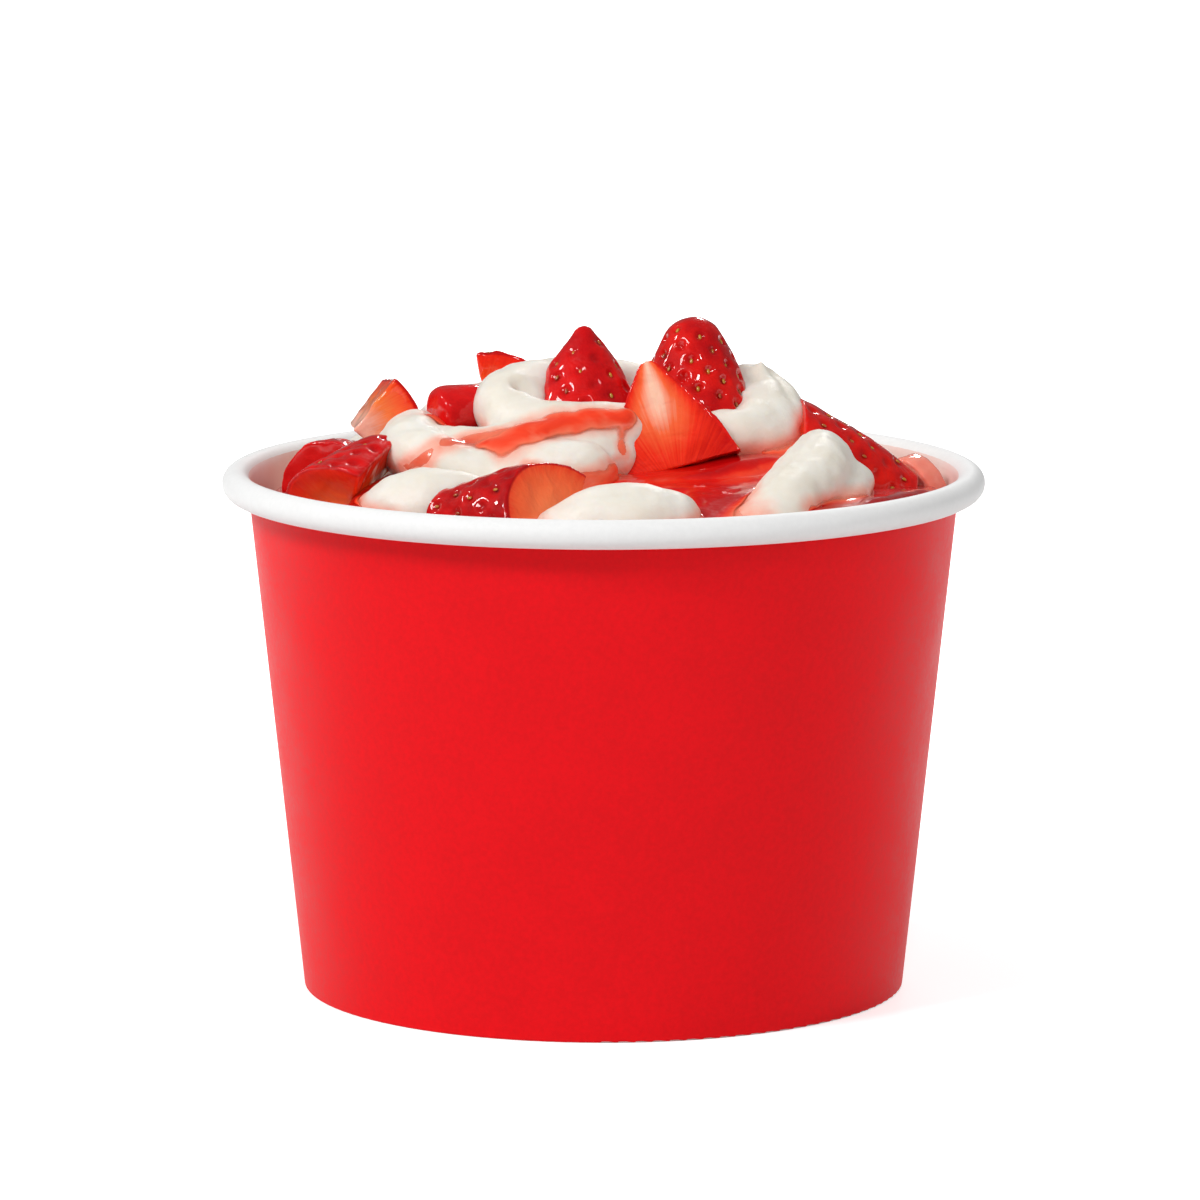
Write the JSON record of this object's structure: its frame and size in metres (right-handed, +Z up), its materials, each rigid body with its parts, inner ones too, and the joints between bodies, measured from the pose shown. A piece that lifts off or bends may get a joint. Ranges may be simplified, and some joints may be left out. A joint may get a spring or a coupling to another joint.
{
  "type": "paper ice cream cup with strawberries",
  "caption": "Round tapered paper cup with a rolled rim and a recessed base, heaped with soft ice cream in folds, cut strawberry pieces and thin berry sauce",
  "frame": {"origin": "on the cup's axis, in the plane that the foot stands on", "axes": "+Z up along the cup's axis, -Y towards the front, where the half berry faces out, +Y to the back, where the wall's side seam is"},
  "size_m": [0.112, 0.112, 0.0984],
  "materials": {
    "sleeve_paper": "satin",
    "base_paper": "matte",
    "cream": "satin",
    "berry": "gloss"
  },
  "bodies": {
    "root": {"cupSideWall": "sleeve_paper", "cupBase": "base_paper", "iceCream": "cream", "berryFrontHalf": "berry", "berryTopTip": "berry", "berryLeftTip": "berry", "berryBackChunk": "berry", "berrySauced": "berry", "berryLeftCube": "berry", "berryLeftBack": "berry", "berryLeftFront": "berry", "berryFrontRim": "berry", "berryRightSlab": "berry", "berryRightSmall": "berry", "berryBackRight": "berry", "berryBackMiddle": "berry", "berryBackLeft": "berry"}
  },
  "joints": []
}
